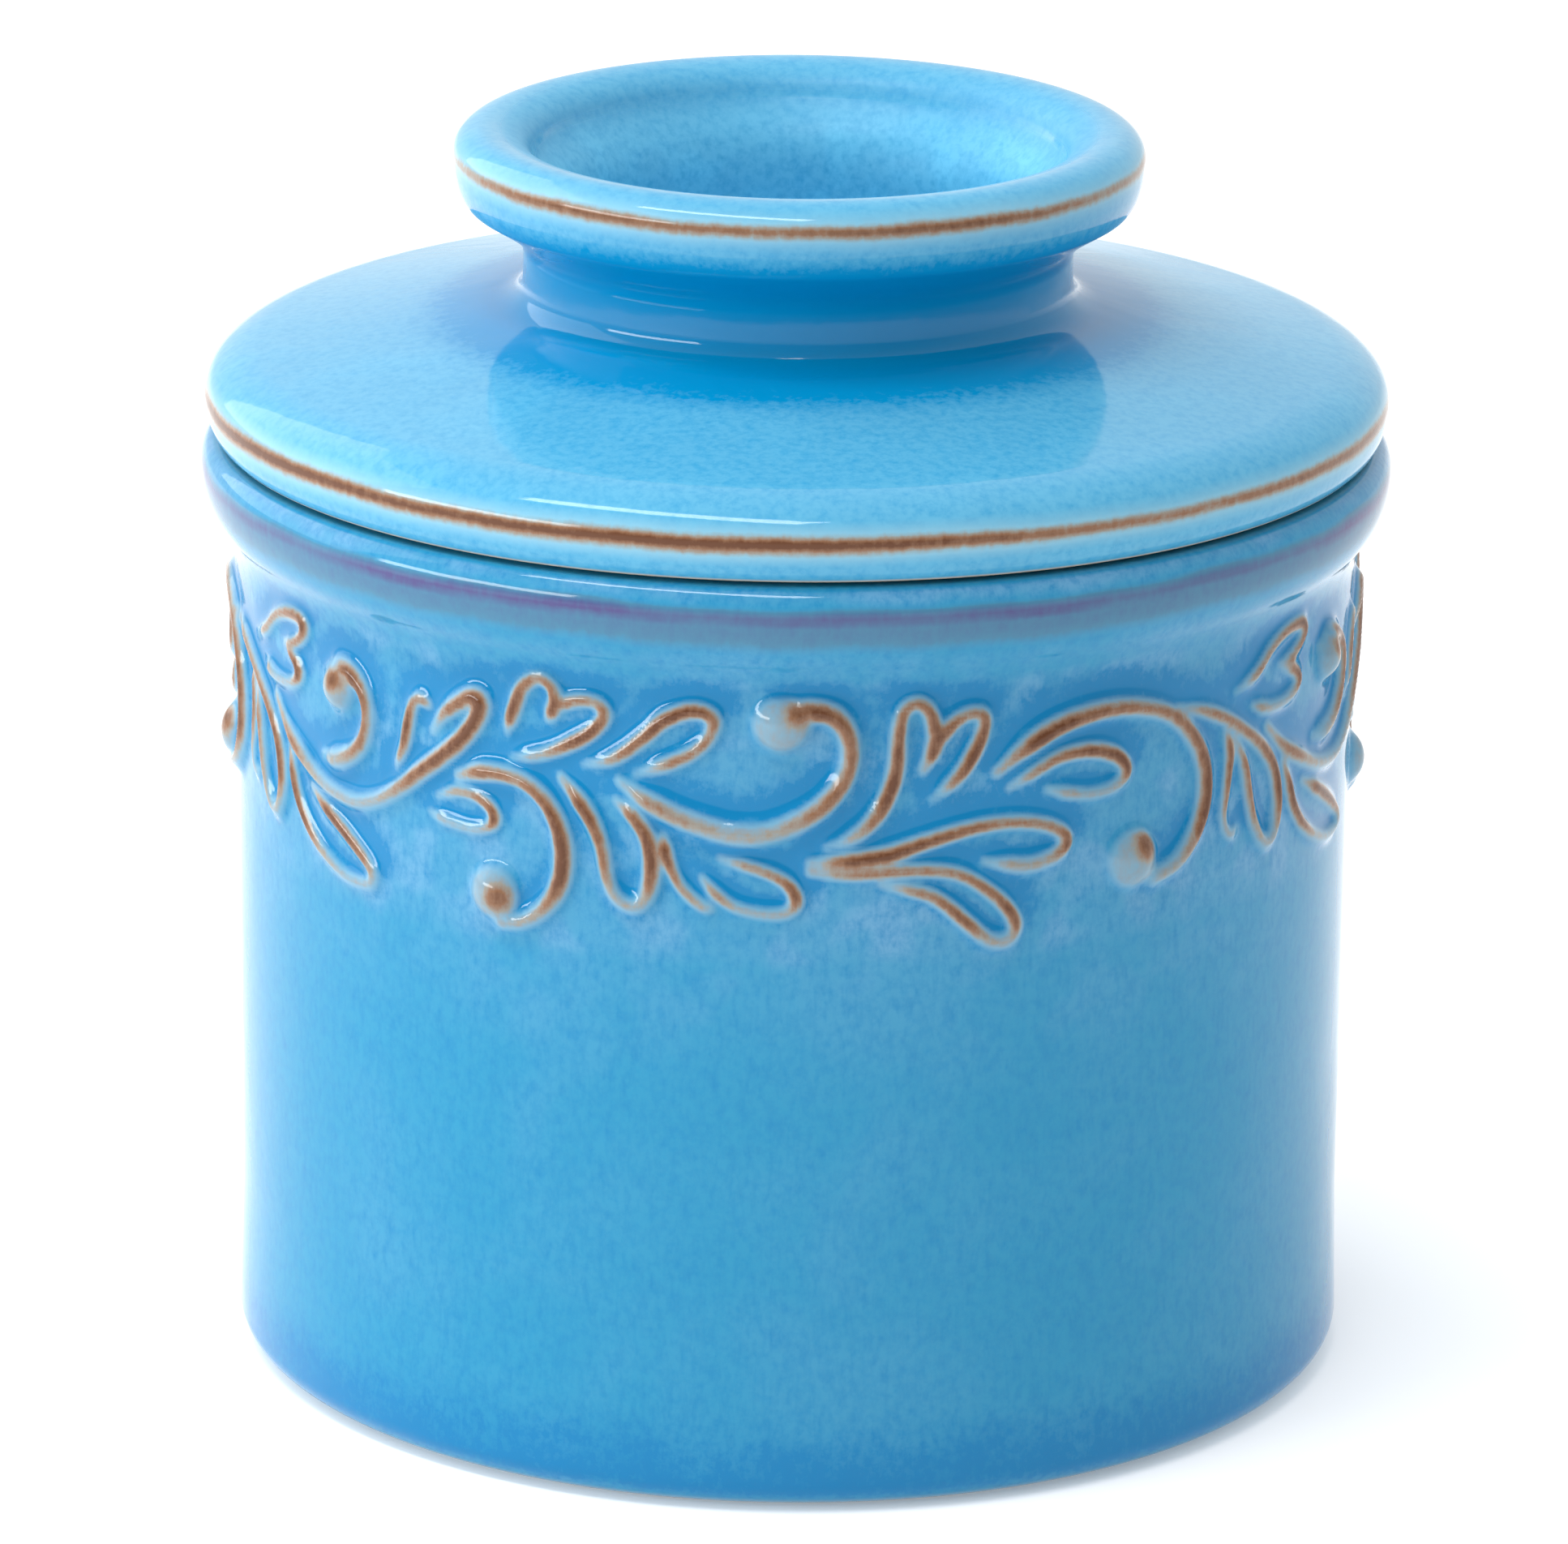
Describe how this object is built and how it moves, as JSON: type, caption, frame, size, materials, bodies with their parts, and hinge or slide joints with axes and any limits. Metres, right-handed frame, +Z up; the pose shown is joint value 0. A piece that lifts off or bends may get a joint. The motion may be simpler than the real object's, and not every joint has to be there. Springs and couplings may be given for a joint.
{
  "type": "butter crock",
  "caption": "Round glazed stoneware crock with a flared rim and a lift-off lid that carries a hollow flared knob above and a butter bell hanging below.",
  "frame": {"origin": "centre of the foot, on the surface the crock stands on", "axes": "+Z up along the axis that every piece is turned about; the seen side faces -Y"},
  "size_m": [0.1082, 0.1082, 0.1141],
  "materials": {
    "crock_glaze": "glossy sky-blue glaze that breaks brown on the relief",
    "lid_glaze": "glossy sky-blue glaze that breaks brown on the edges",
    "bell_glaze": "glossy sky-blue glaze"
  },
  "bodies": {
    "crock": {"crock": "crock_glaze"},
    "lid": {"lid": "lid_glaze", "butter_bell": "bell_glaze"}
  },
  "joints": [
    {"name": "lid_lift", "type": "slide", "parent": "crock", "child": "lid", "axis": [0, 0, 1], "range_m": [0, 0.07]}
  ]
}
